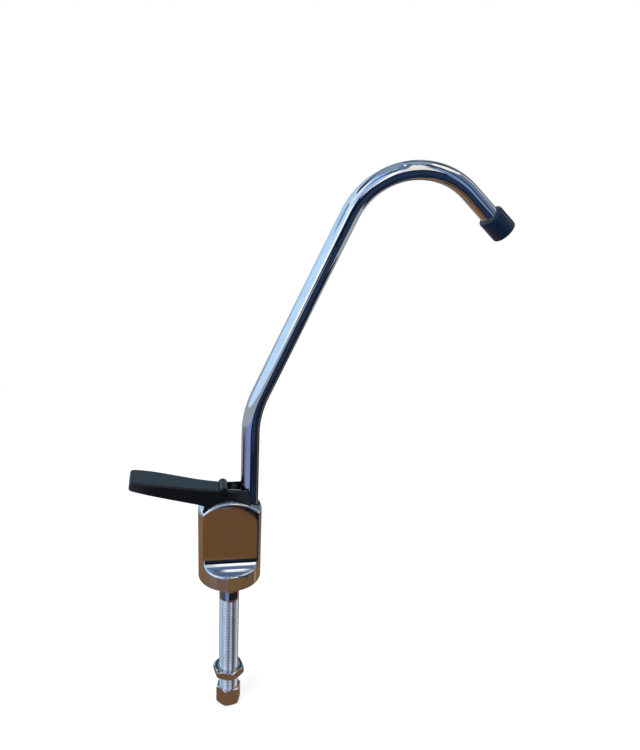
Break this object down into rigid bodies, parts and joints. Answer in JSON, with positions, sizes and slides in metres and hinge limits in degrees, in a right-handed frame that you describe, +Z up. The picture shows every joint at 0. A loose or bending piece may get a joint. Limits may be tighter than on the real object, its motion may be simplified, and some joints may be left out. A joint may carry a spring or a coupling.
{
  "type": "drinking water filter tap",
  "caption": "Deck-mounted drinking water tap with a tall hooked swivel spout, a hollow forked lever that lifts a sprung valve, and a threaded shank with its nuts.",
  "frame": {"origin": "on the body's axis, at the flat underside that rests on the deck", "axes": "+Z up along the body's axis, +X towards the spout's reach, with the lever towards -X, +Y across the flats"},
  "size_m": [0.1927, 0.0342, 0.3147],
  "materials": {
    "chrome_plate": "polished",
    "bare_brass": "machined",
    "black_gloss": "glossy",
    "black_satin": "satin",
    "pale_plastic": "satin",
    "seal_rubber": "matt",
    "spring_steel": "satin"
  },
  "bodies": {
    "tap_body": {"tap_body": "chrome_plate", "threaded_shank": "chrome_plate", "mounting_nut": "chrome_plate", "compression_nut": "chrome_plate", "compression_sleeve": "bare_brass", "bonnet": "bare_brass", "bonnet_o_ring": "seal_rubber", "spout_bushing": "black_satin", "valve_spring": "spring_steel"},
    "stem": {"valve_stem": "bare_brass", "stem_o_ring": "seal_rubber", "seat_washer": "seal_rubber", "washer_screw": "spring_steel", "t_bar": "black_gloss"},
    "lever": {"lever": "black_gloss"},
    "spout": {"spout_tube": "chrome_plate", "spout_adapter": "bare_brass", "spout_o_rings": "seal_rubber", "spout_retaining_ring": "pale_plastic", "spout_tip": "black_satin", "flow_straightener": "pale_plastic"}
  },
  "joints": [
    {"name": "spout_swivel", "type": "hinge", "parent": "tap_body", "child": "spout", "pos_m": [0.0103, 0, 0.03], "axis": [0, 0, 1], "continuous": true},
    {"name": "stem_lift", "type": "slide", "parent": "tap_body", "child": "stem", "axis": [0, 0, 1], "range_m": [0, 0.0025], "stiffness_N_per_m": 3000, "springref_m": -0.0015, "deforming": ["valve_spring"]},
    {"name": "lever_press", "type": "hinge", "parent": "stem", "child": "lever", "pos_m": [-0.0037, 0, 0.0547], "axis": [0, -1, 0], "range_deg": [0, 11]}
  ],
  "couplings": [
    {"joint": "lever_press", "follows": "stem_lift", "rad_per_m": 76.79}
  ]
}
